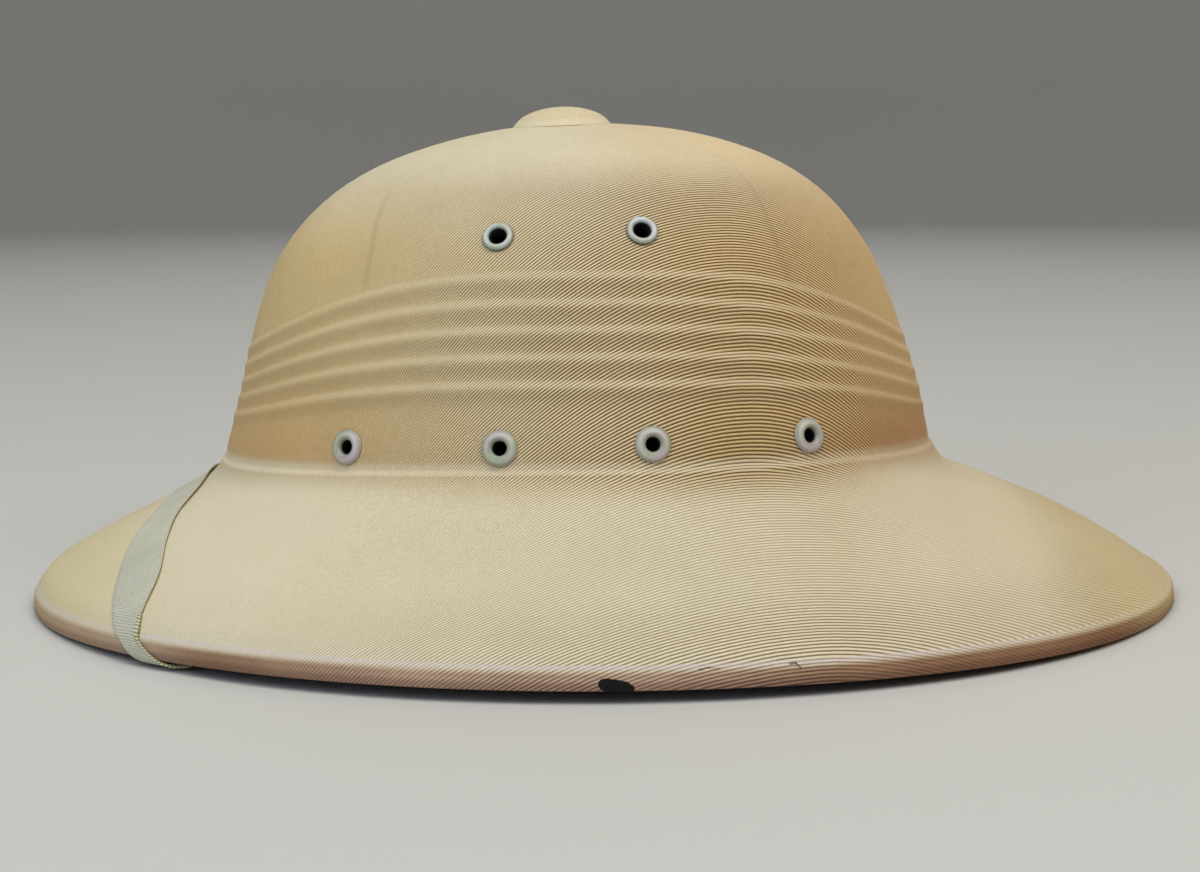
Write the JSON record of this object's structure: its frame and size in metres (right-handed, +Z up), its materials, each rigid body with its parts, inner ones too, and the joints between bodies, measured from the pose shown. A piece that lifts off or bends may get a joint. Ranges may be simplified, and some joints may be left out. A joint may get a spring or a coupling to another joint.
{
  "type": "pith helmet",
  "caption": "Cloth-covered pressed-fibre sun helmet: ribbed oval crown, wide sloping brim, top button, metal vent eyelets in the sides, and a tape chin strap stored over the front of the brim.",
  "frame": {"origin": "centre of the rim's bottom, on the surface that the helmet rests on", "axes": "+Z up through the crown, -X towards the front of the helmet, where the strap lies, -Y towards the wearer's left, which the picture shows"},
  "size_m": [0.34, 0.2876, 0.1438],
  "materials": {
    "shell_cloth": "khaki cotton twill stretched over pressed fibre, lighter on the brim",
    "button_cloth": "the same khaki twill over a button",
    "eyelet_paint": "pale grey-green satin paint",
    "strap_tape": "grey-green woven tape with a fine cross rib",
    "tack_brass": "plain dull brass"
  },
  "bodies": {
    "root": {"shell": "shell_cloth", "top_button": "button_cloth", "eyelet_top_front_left": "eyelet_paint", "eyelet_top_front_right": "eyelet_paint", "eyelet_top_back_left": "eyelet_paint", "eyelet_top_back_right": "eyelet_paint", "eyelet_low_front_left": "eyelet_paint", "eyelet_low_front_right": "eyelet_paint", "eyelet_low_mid_front_left": "eyelet_paint", "eyelet_low_mid_front_right": "eyelet_paint", "eyelet_low_mid_back_left": "eyelet_paint", "eyelet_low_mid_back_right": "eyelet_paint", "eyelet_low_back_left": "eyelet_paint", "eyelet_low_back_right": "eyelet_paint", "chin_strap": "strap_tape", "strap_tack_left": "tack_brass", "strap_tack_right": "tack_brass"}
  },
  "joints": []
}
